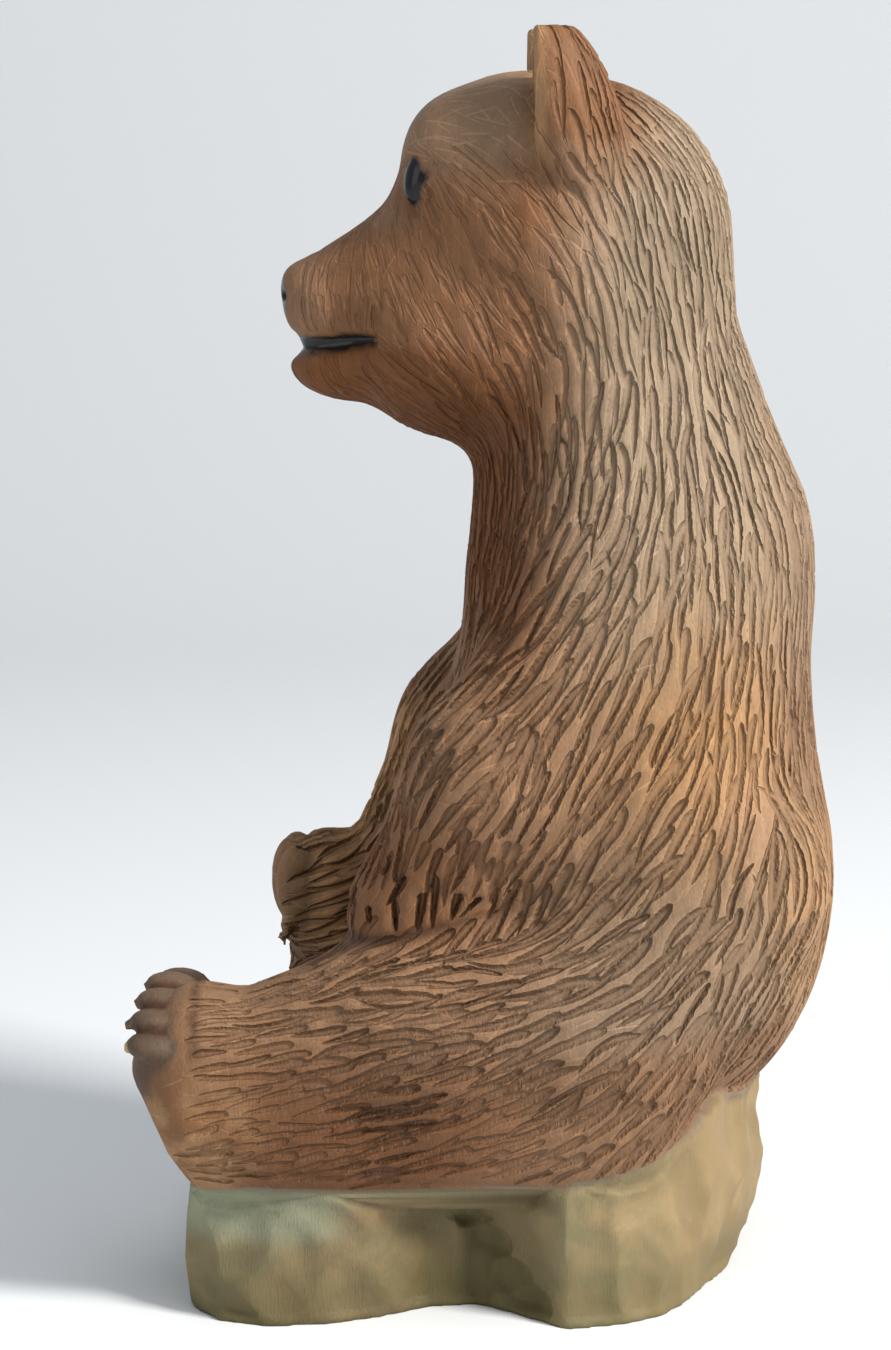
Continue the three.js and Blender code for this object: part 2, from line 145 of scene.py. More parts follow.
# Where the fur meets the ground on the left side, from front to back: y, and z above the ground.
FUR_LINE = [
    (-60, 0), (-46, 2), (-27, 2.2), (-18, 0.8), (-4, 4.2), (8, 5.2), (17, 2.7), (27, 2.2), (36, 4.6),
    (48, 7), (60, 12.9), (69, 21.3), (75, 27.2), (90, 34),
]

# Bites of the gouge at the back of the ground's left hollow: y, z from the floor, and size.
BITES = [(6.5, 23.5, 4.6), (10.5, 16, 4.8), (15, 9, 5.2), (19.5, 3.5, 5.4)]

# Short stop cuts along the lower edge of the left forearm: (y, z) where each starts and ends.
STOP_CUTS = [
    ((-20.5, 74.7), (-23.9, 60.6)), ((-16.7, 82), (-19.5, 77.2)), ((-13.8, 78.6), (-14.5, 74.3)),
    ((-9.1, 74), (-13.9, 67.9)), ((-18.1, 66.4), (-18.2, 62.5)), ((-11.9, 68.4), (-11.6, 61.6)),
    ((-5.3, 70.4), (-6.7, 61.6)), ((-2.2, 74.7), (-3.2, 62.5)), ((3, 70.8), (1.6, 64)),
    ((7.8, 69.5), (3.7, 64.5)),
]


def linear(code):
    """An sRGB hex colour as linear RGBA."""
    channels = [int(code[i : i + 2], 16) / 255 for i in (1, 3, 5)]
    return [c / 12.92 if c <= 0.04045 else ((c + 0.055) / 1.055) ** 2.4 for c in channels] + [1.0]


def colour_of(code, name, description):
    """A colour that a user may change."""
    return bpy.props.FloatVectorProperty(
        name=name, description=description, default=linear(code), subtype="COLOR", size=4, min=0, max=1
    )


class BearSizes(bpy.types.PropertyGroup):
    """What a carver would change on the figure."""

    skin: bpy.props.FloatProperty(
        name="Skin",
        description="Side of the squares that the carved surface is rebuilt of",
        default=0.66 * MM,
        precision=5,
        unit="LENGTH",
    )
    stroke_depth: bpy.props.FloatProperty(
        name="Stroke depth", description="Depth of the fur's strokes", default=1.0, subtype="FACTOR"
    )
    stroke_room: bpy.props.FloatProperty(
        name="Stroke room", description="Room from stroke to stroke, in widths of a stroke", default=1.14
    )
    triangles: bpy.props.IntProperty(
        name="Triangles", description="Faces of the finished figure", default=192000
    )
    seed: bpy.props.IntProperty(name="Hand", description="Lays the strokes another way", default=11)


class BearColours(bpy.types.PropertyGroup):
    """The stains, the paints and the bare wood."""

    brown: colour_of("#806045", "Brown stain", "Oil stain rubbed thin over the fur")
    grey: colour_of("#8d7a64", "Greyed stain", "The same stain worn dusty on head, shoulder and back")
    amber: colour_of("#a27b52", "Thin stain", "Where the wood shows amber through the stain")
    # Also used as painted shade on face, throat and jaw and round the left paw
    deep: colour_of("#693f1c", "Deep stain", "Where the stain was laid on twice")
    # Pooled stain, also standing in as painted shade in the cuts and creases
    pooled: colour_of("#442a19", "Pooled stain", "Stain that ran into the cuts")
    bare: colour_of("#957d59", "Bare lime", "Unstained wood of the ground")
    wash: colour_of("#6f694b", "Green wash", "Thin green wash on the ground")
    # Also used as painted shade in the hollow under the leg and in the bites
    moss: colour_of("#57512f", "Olive wash", "The wash where it gathered")
    verdigris: colour_of("#858970", "Blue green wash", "A second wash on the chamfer")
    bleed: colour_of("#6b5c52", "Bled stain", "Stain that bled into the ground round the fur")
    toe: colour_of("#5a4a3b", "Toe paint", "Grey brown paint on the toes")
    horn: colour_of("#a8946e", "Claw", "Claws left nearly bare")
    black: colour_of("#191919", "Black enamel", "Eyes, nose and mouth")
    board: colour_of("#dfe3e6", "Board", "Matt paint of the board under the figure")


def fur_line(q):
    """How far below the fur's edge points lie, on the outer sides of the legs."""
    across, up = np.transpose(FUR_LINE)
    outer = step(18, 28, np.abs(q[:, 0]))
    return (np.interp(q[:, 1], across, up) - q[:, 2]) * outer - 100 * (1 - outer)


# Forms. Each gives the distance of points to its surface, negative inside.


def step(low, high, x):
    """0 below low, 1 above high and a smooth rise between them."""
    t = np.clip((x - low) / (high - low), 0, 1)
    return t * t * (3 - 2 * t)


def join(a, b, k):
    """Smooth minimum: two forms run together over the width k."""
    h = np.maximum(0, k - np.abs(a - b)) / k
    return np.minimum(a, b) - h * h * k / 4


def carve(a, b, k):
    """The form a with the form b cut out of it, the edge rounded over the width k."""
    return -join(-a, b, k)


def turned(turn):
    """The axes of a form turned about X, Y and Z, as the columns of a matrix."""
    (sa, sb, sc), (ca, cb, cc) = np.sin(turn), np.cos(turn)
    about_x = np.array([[1, 0, 0], [0, ca, -sa], [0, sa, ca]])
    about_y = np.array([[cb, 0, sb], [0, 1, 0], [-sb, 0, cb]])
    about_z = np.array([[cc, -sc, 0], [sc, cc, 0], [0, 0, 1]])
    return about_x @ about_y @ about_z


def ball(p, c, r, turn=None):
    q = p - np.array(c, float)
    if turn is not None:
        q = q @ turned(turn)
    q = q / np.array(r, float)
    near = np.sqrt((q * q).sum(1))
    steep = np.sqrt(((q / np.array(r, float)) ** 2).sum(1)) + 1e-9
    return near * (near - 1) / steep


def limb(p, a, ra, b, rb, flat=1):
    scale = np.array([1 / flat, 1, 1])
    q = (p - np.array(a, float)) * scale
    span = (np.array(b, float) - np.array(a, float)) * scale
    t = np.clip(q @ span / (span @ span), 0, 1)
    off = q - t[:, None] * span
    return (np.sqrt((off * off).sum(1)) - (ra + t * (rb - ra))) * math.sqrt(flat)


def torso(p):
    """The bear's masses without its ears, toes and face. z is counted from the top of the ground."""
    d = None
    for kind, *size, k in MASSES:
        mass = ball(p, *size) if kind == "ball" else limb(p, *size)
        d = mass if d is None else join(d, mass, k)
    return d


def slope_of(form, p, d, e=0.15):
    return np.stack([form(p + e * axis) - d for axis in np.eye(3)], 1) / e


def settle(form, p, turns, reach=1e9):
    """Points moved onto the form's surface. Those that start further out than reach stay."""
    for _ in range(turns):
        d = form(p)
        slope = slope_of(form, p, d)
        steep = np.maximum(0.25, (slope * slope).sum(1))
        weight = 1 - step(0.5 * reach, reach, d)
        p = p - (weight * np.clip(d, -4, 4) / steep)[:, None] * slope
    return p


EYES = {side: settle(torso, np.array([[side * 18.0, -6.8, 233.0]]), 4)[0] for side in (1, -1)}


def eyeball(q, side, grown=0.0):
    centre = EYES[side] + np.array([side * -1.3, 0.3, 0.6])
    return ball(q, centre, np.array([3.7, 2.7, 6.3]) + grown, (EYE_LEAN, 0, side * 0.75))


def eyelid(q, side):
    """A roll of skin over the eye, from its inner corner round to the outer one."""
    place = EYES[side]
    top = place + np.array([side * -1.6, 0.9, 7.8])
    corner = place + np.array([side * 3.4, 4.6, 1.8])
    inner = limb(q, place + np.array([side * -6.5, -2.5, 3.4]), 1.1, top, 1.6)
    outer = limb(q, top, 1.6, corner, 1.2)
    lower = limb(q, corner, 1.2, place + np.array([side * 2.0, 0.4, -6.8]), 0.7)
    return np.minimum(np.minimum(inner, outer), lower)


def bear(p):
    """The whole bear in the frame of the part."""
    q = p - np.array([0, 0, BASE_HEIGHT])
    d = torso(q)
    sole = (np.array([38, -67.5, 13]) - q) @ np.array([0, math.cos(0.49), math.sin(0.49)])
    low_foot = (q[:, 1] < -40) & (q[:, 0] > 6) & (q[:, 2] < 40)
    d = np.where(low_foot, carve(d, -sole, 1.5), d)
    for side in (1, -1):
        lobe = ball(q, (side * 25, 29, 245), (14, 12, 27), (0.3, side * 0.12, side * -0.1))
        lobe = carve(lobe, EAR_TIP - q[:, 2], 1.2)
        lobe = carve(lobe, q[:, 1] - 20, 1.2)
        lobe = carve(lobe, ball(q, (side * 26, 17.5, 252), (9.5, 8.5, 13), (0.2, side * 0.12, 0)), 1.2)
        d = join(d, lobe, 1.8)
    for c, r, turn in TOES:
        d = join(d, ball(q, c, r, turn), 0.8)
        root = (c[0], c[1] - 4.5, c[2] + 0.5)
        d = join(d, limb(q, root, 1.9, (c[0], c[1] - 6.2 - FOOT_CLAW, c[2] - 1), 0.4), 0.5)
    for c, r, turn in FINGERS:
        d = join(d, ball(q, c, r, turn), 0.8)
        d = join(d, limb(q, (c[0], -39, 46), 2.2, (c[0], -42.8, 37.5), 1.0), 0.5)
    for c, r, turn in HANGING + FOLDED:
        d = join(d, ball(q, c, r, turn), 0.8)
    d = join(d, ball(q, (0, -33.5, 207), (9, 5.6, 6.4), (0.25, 0, 0)), 1.2)
    d = join(d, ball(q, (0, -27, 193), (10, 9.4, 5)), 1.5)
    for side in (1, -1):
        d = carve(d, ball(q, (side * 4.2, -39.5, 205.5), (2, 2.6, 1.5)), 0.8)
        d = carve(d, ball(q, EYES[side], (6.0, 3.4, 8.6), (EYE_LEAN, 0, side * 0.75)), 1.2)
        d = join(d, eyelid(q, side), 1.4)
        d = join(d, eyeball(q, side), 0.3)
    return d


# Meshes.


def read_points(mesh):
    """A mesh's vertices in millimetres."""
    co = np.empty(len(mesh.vertices) * 3, np.float32)
    mesh.vertices.foreach_get("co", co)
    return co.reshape(-1, 3).astype(float) / MM


def write_points(mesh, points):
    mesh.vertices.foreach_set("co", (points * MM).astype(np.float32).ravel())
    mesh.update()


def read_normals(mesh):
    n = np.empty(len(mesh.vertices) * 3, np.float32)
    mesh.vertex_normals.foreach_get("vector", n)
    return n.reshape(-1, 3).astype(float)


def apply_modifiers(piece):
    """Gives the piece the mesh that its modifiers make, and returns it."""
    graph = bpy.context.evaluated_depsgraph_get()
    mesh = bpy.data.meshes.new_from_object(piece.evaluated_get(graph))
    piece.modifiers.clear()
    old = piece.data
    piece.data = mesh
    bpy.data.meshes.remove(old)
    return mesh


def rebuild_skin(piece, side):
    """Rebuilds the piece's mesh of even squares."""
    remesh = piece.modifiers.new("Even skin", "REMESH")
    remesh.mode = "VOXEL"
    remesh.voxel_size = side
    return apply_modifiers(piece)


class Cubes:
    """Points sorted into cubes, so that those near a place are found at once."""

    def __init__(self, points, side=6.0):
        self.points = points
        self.side = side
        cube = np.floor(points / side).astype(int)
        order = np.lexsort(cube.T)
        cube = cube[order]
        first = np.flatnonzero(np.r_[True, (cube[1:] != cube[:-1]).any(1)])
        self.cubes = dict(zip(map(tuple, cube[first].tolist()), np.split(order, first[1:])))

    def near(self, place, reach):
        low = np.floor((place - reach) / self.side).astype(int).tolist()
        high = np.floor((place + reach) / self.side).astype(int).tolist()
        keys = itertools.product(*(range(a, b + 1) for a, b in zip(low, high)))
        found = [self.cubes[key] for key in keys if key in self.cubes]
        if not found:
            return np.empty(0, int)
        found = np.concatenate(found)
        apart = self.points[found] - place
        return found[(apart * apart).sum(1) < reach * reach]


def ease_seam(mesh):
    """Evens the skin along the seam between the fur and the ground, where two surfaces meet."""
    away = bear(read_points(mesh))
    bm = bmesh.new()
    bm.from_mesh(mesh)
    bm.verts.ensure_lookup_table()
    seam = [bm.verts[i] for i in np.flatnonzero((away > 0.25) & (away < 3.5))]
    for _ in range(6):
        bmesh.ops.smooth_vert(
            bm, verts=seam, factor=0.5, use_axis_x=True, use_axis_y=True, use_axis_z=True
        )
    bm.to_mesh(mesh)
    bm.free()


# The coat.


def coat_at(p):
    """The way the hair runs, and the size of a stroke, at points in the part's frame."""
    place = np.array([entry[0] for entry in COAT], float)
    lie = np.array([entry[1] for entry in COAT], float)
    lie /= np.linalg.norm(lie, axis=1)[:, None]
    size = np.array([entry[2:] for entry in COAT], float)
    away = (p[:, None, 1] - place[:, 0]) ** 2 + (p[:, None, 2] - BASE_HEIGHT - place[:, 1]) ** 2
    weight = 1 / (away + 25.0) ** 2
    weight /= weight.sum(1)[:, None]
    run = weight @ lie
    return np.stack([np.zeros(len(p)), run[:, 0], run[:, 1]], 1), weight @ size


def left_smooth(q):
    """Where no fur is cut: forehead, ear rims, eyes, nose, mouth, toes, fingers and under the fur line."""
    smooth = (q[:, 2] > 238) & (q[:, 1] < 18)
    smooth |= (q[:, 1] < -57) & (q[:, 2] < 56)
    smooth |= (q[:, 2] < 1) | (fur_line(q) > -1.5)
    smooth |= (q[:, 0] > 30) & (np.abs(q[:, 1] + 6) < 17) & (np.abs(q[:, 2] - 67.5) < 7)
    for side in (1, -1):
        smooth |= ball(q, (side * 25, 20, 254), (16, 7, 20)) < 0
        smooth |= eyeball(q, side, 4.0) < 0
    smooth |= ball(q, (0, -38, 207), (12, 6, 9)) < 0
    smooth |= (q[:, 1] < -14) & (np.abs(q[:, 2] - 193) < 4)
    for c, r, turn in TOES + FINGERS + HANGING + FOLDED:
        smooth |= ball(q, c, np.array(r) + 1.2, turn) < 0
    return smooth


class Stroke:
    """One push of the gouge: rounded where the tool goes in, thin where it runs out."""

    def __init__(self, place, out, run, width, length, deep, bend=0.0):
        run = run - (run @ out) * out
        self.place = place
        self.out = out
        self.run = run / np.linalg.norm(run)
        self.across = np.cross(out, self.run)
        self.width = width
        self.length = length
        self.deep = deep
        self.bend = bend

    def share(self, points, normals):
        """Where points lie along and across the stroke, from -1 to 1, and how far they are inside."""
        q = points - self.place
        u = q @ self.run
        w = (q @ self.across - self.bend * u * u) / (self.width / 2)
        t = np.clip(u / (self.length / 2), -1.5, 1.5)
        inside = self.taper(t) - np.abs(w)
        inside[(normals @ self.out < 0.2) | (np.abs(q @ self.out) > 7)] = -9
        return t, w, inside

    @staticmethod
    def taper(t):
        return np.sqrt(np.maximum(0, 1 - t**4)) * (1 - 0.4 * t)


def lay_strokes(p, n, sizes, random):
    """Spreads the strokes over the coat, each with its own room, and lays them along the hair."""
    q = p - np.array([0, 0, BASE_HEIGHT])
    free = np.flatnonzero((bear(p) < 0.3) & ~left_smooth(q))
    free = random.permutation(free)[:STROKE_TRIES]
    p = p[free]
    n = n[free]
    lie, size = coat_at(p)
    lie -= (lie * n).sum(1)[:, None] * n
    steep = np.linalg.norm(lie, axis=1)
    lie /= np.maximum(steep, 1e-6)[:, None]
    alive = steep > 0.15
    sparse = 0.4 * step(176, 188, q[free, 2]) * step(36, 22, q[free, 1])
    cubes = Cubes(p)
    strokes = []
    for i in range(len(p)):
        if not alive[i]:
            continue
        width, length, deep = size[i]
        near = cubes.near(p[i], 0.6 * length)
        apart = p[near] - p[i]
        along = apart @ lie[i]
        across = np.sqrt(np.maximum(0, (apart * apart).sum(1) - along * along))
        crowded = np.hypot(along / (0.52 * length), across / (sizes.stroke_room * width)) < 1
        alive[near[crowded]] = False
        if random.random() < 0.05 + sparse[i]:
            continue
        lean = random.normal(0, 0.085)
        run = lie[i] * math.cos(lean) + np.cross(n[i], lie[i]) * math.sin(lean)
        if random.random() < 0.15:
            run = -run
        strokes.append(
            Stroke(
                p[i],
                n[i],
                run,
                width * random.uniform(0.75, 1.3),
                length * random.uniform(0.7, 1.35),
                deep * random.uniform(0.7, 1.25),
                random.normal(0, 0.012),
            )
        )
    return strokes


def lay_stop_cuts(random):
    """The short upright cuts above the thigh."""
    strokes = []
    for (y0, z0), (y1, z1) in STOP_CUTS:
        middle = np.array([[62.0, (y0 + y1) / 2, (z0 + z1) / 2]])
        for _ in range(60):
            middle[:, 0] -= 0.6 * torso(middle)
        out = slope_of(torso, middle, torso(middle))[0]
        out /= np.linalg.norm(out)
        run = np.array([0, y1 - y0, z1 - z0], float)
        place = middle[0] + np.array([0, 0, BASE_HEIGHT])
        width = random.uniform(1.8, 2.4)
        strokes.append(Stroke(place, out, run, width, 1.15 * np.linalg.norm(run), 2.2))
    return strokes


def lay_lip_strokes(random):
    """The row of short upright strokes over the mouth, on both sides of the muzzle."""
    strokes = []
    for side in (1, -1):
        for i in range(10):
            y = -35.5 + 2.2 * i + random.uniform(-0.5, 0.5)
            out_to = side * (9 + 0.9 * i)
            top = settle(torso, np.array([[out_to, y, 204.5 + random.uniform(-2.5, 2)]]), 6)[0]
            low = settle(torso, np.array([[out_to, y + random.uniform(-0.2, 1.8), 197]]), 6)[0]
            middle = settle(torso, (top + low)[None] / 2, 4)
            out = slope_of(torso, middle, torso(middle))[0]
            out /= np.linalg.norm(out)
            place = middle[0] + np.array([0, 0, BASE_HEIGHT])
            width = random.uniform(1.1, 1.8)
            deep = random.uniform(0.2, 0.45)
            strokes.append(Stroke(place, out, low - top, width, np.linalg.norm(low - top), deep))
    return strokes


def lay_scratches(p, n, random):
    """Hair-thin scratches of the tool's corner over the face, shoulder and arm."""
    q = p - np.array([0, 0, BASE_HEIGHT])
    face = (q[:, 2] > 180) & (q[:, 1] < 34) & (q[:, 1] > -30)
    arm = (q[:, 2] > 62) & (q[:, 2] < 170) & (q[:, 1] < 50) & (np.abs(q[:, 0]) > 18)
    leg = (q[:, 2] > 8) & (q[:, 2] < 62) & (q[:, 1] < 40) & (np.abs(q[:, 0]) > 18)
    brow = (q[:, 2] > 224) & (q[:, 1] < 22)
    scratches = []
    for zone, count in ((face, 330), (brow, 130), (arm, 300), (leg, 140)):
        zone = np.flatnonzero(zone & (bear(p) < 0.3))
        for i in random.permutation(zone)[:count]:
            lie = coat_at(p[i : i + 1])[0][0]
            lean = random.normal(0, 0.36)
            run = lie * math.cos(lean) + np.cross(n[i], lie) * math.sin(lean)
            if np.linalg.norm(run - (run @ n[i]) * n[i]) < 0.2:
                continue
            width = random.uniform(0.45, 0.8)
            length = random.uniform(4, 13)
            scratches.append(Stroke(p[i], n[i], run, width, length, 0.1, random.normal(0, 0.01)))
    return scratches


def depth_of_strokes(p, n, strokes):
    """How deep the strokes have cut at each point."""
    cubes = Cubes(p)
    depth = np.zeros(len(p))
    for stroke in strokes:
        near = cubes.near(stroke.place, stroke.length / 2 + stroke.width)
        t, w, inside = stroke.share(p[near], n[near])
        taper = np.maximum(stroke.taper(t), 1e-3)
        floor = np.maximum(0, 1 - (w / taper) ** 2) ** 0.7
        cut = stroke.deep * np.minimum(1, 1.15 * taper) * floor * (inside > 0)
        depth[near] = np.maximum(depth[near], cut)
    return depth


def write_strokes(mesh, strokes, names):
    """Gives each face its two nearest strokes: where its corners lie along and across them, and how
    deep the stroke is. The pooled stain, the painted shade in the cuts and the paler rims are laid by
    this, so that they follow a cut to its very edge."""
    count = len(mesh.polygons)
    corners = np.empty(count * 3, np.int32)
    mesh.loops.foreach_get("vertex_index", corners)
    corners = corners.reshape(-1, 3)
    p = read_points(mesh)
    centre = p[corners].mean(1)
    normal = np.cross(p[corners[:, 1]] - p[corners[:, 0]], p[corners[:, 2]] - p[corners[:, 0]])
    normal /= np.maximum(np.linalg.norm(normal, axis=1), 1e-9)[:, None]
    cubes = Cubes(centre)
    best = np.full((2, count), -3.0)
    cut = np.zeros((2, count, 3, 3), np.float32)
    cut[..., 1] = 5.0
    for stroke in strokes:
        near = cubes.near(stroke.place, stroke.length / 2 + 2 * stroke.width)
        inside = stroke.share(centre[near], normal[near])[2] * stroke.width / 2
        better = inside > best[1, near]
        near = near[better]
        inside = inside[better]
        spots = p[corners[near]].reshape(-1, 3)
        t, w, _ = stroke.share(spots, np.repeat(normal[near], 3, axis=0))
        made = np.stack([t, w, np.full(len(t), stroke.deep)], 1).reshape(-1, 3, 3)
        first = inside > best[0, near]
        best[1, near[first]] = best[0, near[first]]
        cut[1, near[first]] = cut[0, near[first]]
        best[0, near[first]] = inside[first]
        cut[0, near[first]] = made[first]
        best[1, near[~first]] = inside[~first]
        cut[1, near[~first]] = made[~first]
    for rank, name in enumerate(names):
        attribute = mesh.attributes.new(name, "FLOAT_VECTOR", "CORNER")
        attribute.data.foreach_set("vector", cut[rank].ravel())


def lay_parings(p, n, away, random):
    """Broad shallow cuts side by side down the ground and, smaller, on the outer side of the foot. Each
    has its place and axes, how far it sags along them, its depth and its own tone."""
    side = np.flatnonzero((paring_room(p, away) > 0.3) & (n[:, 2] > -0.7) & (p[:, 2] < BASE_HEIGHT + 30))
    parings = []
    for i in random.permutation(side)[:PARING_COUNT]:
        across = np.cross((0, 0, 1.0), n[i])
        across /= np.linalg.norm(across) + 1e-6
        down = np.cross(n[i], across)
        lean = random.normal(0, 0.45)
        u = across * math.cos(lean) + down * math.sin(lean)
        v = down * math.cos(lean) - across * math.sin(lean)
        wide = random.uniform(12, 28)
        long = random.uniform(45, 140)
        parings.append((p[i], n[i], u, v, wide, long, random.uniform(0.9, 2.1), random.uniform(-1, 1)))
    return parings


def paring_room(p, away):
    """How much of a paring shows: all on the ground, about half on the foot's side, none on the fur."""
    up = p[:, 2] - BASE_HEIGHT
    foot = step(-40, -46, p[:, 1]) * step(28, 20, up) * step(14, 22, p[:, 0])
    return np.maximum(step(0.6, 2.6, away), 0.5 * foot)


def pare(p, n, away, parings):
    """How deep the parings cut at each point, with a crisp ridge where two of them meet, and the tone
    of the one that cut deepest. The bites at the back of the left hollow come last."""
    near = np.flatnonzero(paring_room(p, away) > 0)
    depth = np.zeros(len(p))
    tone = np.zeros(len(p))
    for place, out, u_axis, v_axis, wide, long, deep, own in parings:
        q = p[near] - place
        sag = deep - (q @ u_axis) ** 2 / wide - (q @ v_axis) ** 2 / long
        sag[n[near] @ out < 0.5] = 0
        deeper = near[sag > depth[near]]
        depth[deeper] = sag[sag > depth[near]]
        tone[deeper] = own
    for y, z, size in BITES:
        bite = 1 - ((p[:, 1] - y) ** 2 + (p[:, 2] - z) ** 2) / size**2
        bite[p[:, 0] < 20] = 0
        depth = np.maximum(depth, 3.4 * np.sqrt(np.maximum(0, bite)))
    return depth * paring_room(p, away) * step(0.5, 3, p[:, 2]), tone


def mouth_depth(q):
    """The slit of the mouth, which climbs a little to the cheek and opens to the front."""
    back = q[:, 1] + 38
    line = 193.0 + 0.13 * back
    reach = step(-15.6, -17.2, q[:, 1]) * (np.abs(q[:, 2] - 193) < 9)
    half = 2.4 - 0.02 * back
    return 2.6 * np.exp(-(((q[:, 2] - line) / half) ** 2)) * reach


def elbow_crease(q):
    """The crease where the left forearm lies on the thigh."""
    line = np.interp(q[:, 1], [-24, -11, 1, 13, 27], [57.5, 59.5, 62.5, 65.5, 69])
    reach = step(22, 40, q[:, 0]) * step(-30, -24, q[:, 1]) * step(16, 0, q[:, 1])
    return 1.3 * np.exp(-(((q[:, 2] - line) / 1.7) ** 2)) * reach


def write_masks(mesh, parings):
    """Where each stain and paint lies, and where shade and light are painted into the colour."""
    p = read_points(mesh)
    q = p - np.array([0, 0, BASE_HEIGHT])
    x, y, z = q.T
    from_form = bear(p)
    away = np.maximum(from_form, 0.9 * fur_line(q))
    back = step(14, 46, y) * step(96, 140, z) * (1 - step(226, 244, z) * step(56, 40, y))
    brow = step(226, 240, z) * step(26, 10, y)
    flank = np.exp(-(((y - 58) / 22) ** 2) - ((z - 108) / 34) ** 2) * step(20, 34, np.abs(x))
    rump = step(70, 84, y) * step(20, 40, z) * step(110, 70, z)
    foot = step(-36, -54, y) * step(36, 18, z)
    rim = step(3.0, 0.5, np.abs(y - 21)) * step(236, 242, z)
    # Face, throat and jaw take the deep stain partly as painted shade
    face = step(38, 14, y) * step(168, 184, z) * step(244, 226, z) * step(-34, -22, y)
    throat = step(30, 10, y) * step(112, 140, z) * step(192, 172, z)
    thigh = step(-4, 16, y) * step(96, 84, y) * step(28, 42, z) * step(118, 60, z)
    thigh *= step(-0.5, 0.5, y / 40 - z / 90)
    ear = step(238, 246, z) * step(16, 21, y) * step(46, 38, y)
    temple = step(10, 20, y) * step(46, 36, y) * step(216, 226, z) * step(242, 236, z)
    # Painted light: the far paw and forearm made paler where the body shades them
    far = step(-18, -26, x) * step(6, -6, y) * step(36, 44, z) * step(108, 92, z)
    tear = np.exp(-(((y + 14) / 5) ** 2) - ((z - 224) / 3.5) ** 2) * step(4, 8, np.abs(x))
    forearm = step(22, -5, y) * step(54, 62, z) * step(100, 76, z)
    shin = step(34, -6, y) * step(44, 16, z) * (1 - foot)
    jaw = step(16, -4, y) * step(197, 188, z) * step(166, 174, z)
    # Painted shade where the left paw reaches in between the thighs
    between = step(26, 18, x) * step(-34, -12, y) * step(2, -12, y) * step(66, 52, z) * step(-20, -8, x)
    black = step(0.9, 1.5, mouth_depth(q))
    black = np.maximum(black, step(0.2, -0.5, ball(q, (0, -39.6, 207.5), (9.5, 2.2, 7), (0.25, 0, 0))))
    for side in (1, -1):
        black = np.maximum(black, step(0.7, 0.2, eyeball(q, side, 0.5)) * step(0.5, 1.0, eyelid(q, side)))
    stack = np.sort([ball(q, c, r, turn) for c, r, turn in TOES + FOLDED], axis=0)
    knuckles = np.sort([ball(q, c, r, turn) for c, r, turn in FINGERS + HANGING], axis=0)
    toe = np.maximum(step(2.2, 0.6, stack[0]), step(0.8, 0, ball(q, (50, -72.5, 26), (8, 4, 5))))
    toe = np.maximum(toe, 0.4 * step(2.0, 0.6, knuckles[0]))
    # Painted shade in the gaps between the toes and the fingers, and across the foot where the toes start
    creased = np.maximum(step(2.6, 0.8, stack[1]), step(2.4, 0.8, knuckles[1]))
    creased = np.maximum(creased, step(1.4, 0.5, np.abs(y + 58.5)) * step(30, 34, z) * step(51, 48, z))
    horn = np.zeros(len(p))
    for c, _, _ in TOES[-1:]:
        root = (c[0], c[1] - 6.8, c[2])
        horn = np.maximum(horn, step(0.4, 0, limb(q, root, 1.8, (c[0], c[1] - 9.5, c[2] - 1), 1.2)))
    for c, _, _ in FINGERS:
        horn = np.maximum(horn, step(0.4, 0, limb(q, (c[0], -42.4, 39.5), 1.8, (c[0], -43.2, 36), 1.4)))
    # The hollow and the bites at its back are darkened with olive partly as painted shade
    hollow = step(-14, -4, y) * step(26, 21, y) * step(20, 34, x)
    # Painted shade on the ledge under the leg's overhang
    ledge = (
        step(-24, -16, y) * step(26, 21, y) * step(20, 34, x) * step(-5.5, -2.5, z) * step(2.5, 1.2, z)
    )
    bitten = np.zeros(len(p))
    for across, up, size in BITES:
        apart = np.hypot(y - across + 1.0, z + BASE_HEIGHT - up) / size
        bitten = np.maximum(bitten, step(1.0, 0.88, apart) * step(20, 22, x))
    foot_of_block = step(5, 1, z + BASE_HEIGHT) * step(-20, -40, y)
    masks = {
        "away": np.clip(away, -2, 12),
        "greyed": np.clip(
            np.maximum(back * (1 - 0.35 * step(66, 84, y)), 0.5 * brow) + 0.55 * thigh + 0.8 * tear, 0, 1
        ),
        # The far paw's share here is painted light
        "amber": np.clip(0.85 * flank + 0.45 * rump + 0.5 * foot + 0.8 * rim + 0.8 * far, 0, 1),
        # Deep stain on throat, forearm, shin, jaw, face and ear; on face, throat and jaw partly painted
        # shade, round the left paw painted shade, and taken off the far paw as painted light
        "deep": np.clip(
            0.95 * throat + 0.6 * forearm + 0.85 * shin + 0.85 * jaw + 0.6 * face + 0.2 * brow + between
            + 0.6 * ear * (1 - rim) + 0.2 * temple - 0.5 * thigh - 0.6 * far, 0, 1
        ),
        "torn": step(-10, 20, x) * step(44, 14, y) * step(66, 48, z) * step(-66, -52, y),
        "black": black,
        "toe": toe,
        "horn": horn,
        # Olive where the wash gathered in the hollow; painted shade in its upper part under the leg and in
        # the bites; also darker towards the bottom of the block
        "moss": np.clip(
            hollow * (0.45 + 0.5 * step(-7, -2, z)) + 0.5 * step(-12, -28, z) + 0.4 * foot_of_block
            + 0.4 * bitten, 0, 1
        ),
        "dry": step(36, 64, y),
        "facet": pare(p, read_normals(mesh), from_form, parings)[1],
        "worn": foot * step(-6, 2, z) * step(20, 30, x),
        "verdigris": step(-18, -32, y) * step(-15, -9, z) * step(30, 44, x),
        # Painted shade in the elbow crease, between the toes and fingers and on the ledge under the leg;
        # also darker on the shin
        "crease": np.maximum.reduce(
            [step(0.4, 1.3, elbow_crease(q)), creased, 0.9 * ledge, 0.4 * shin]
        ),
    }
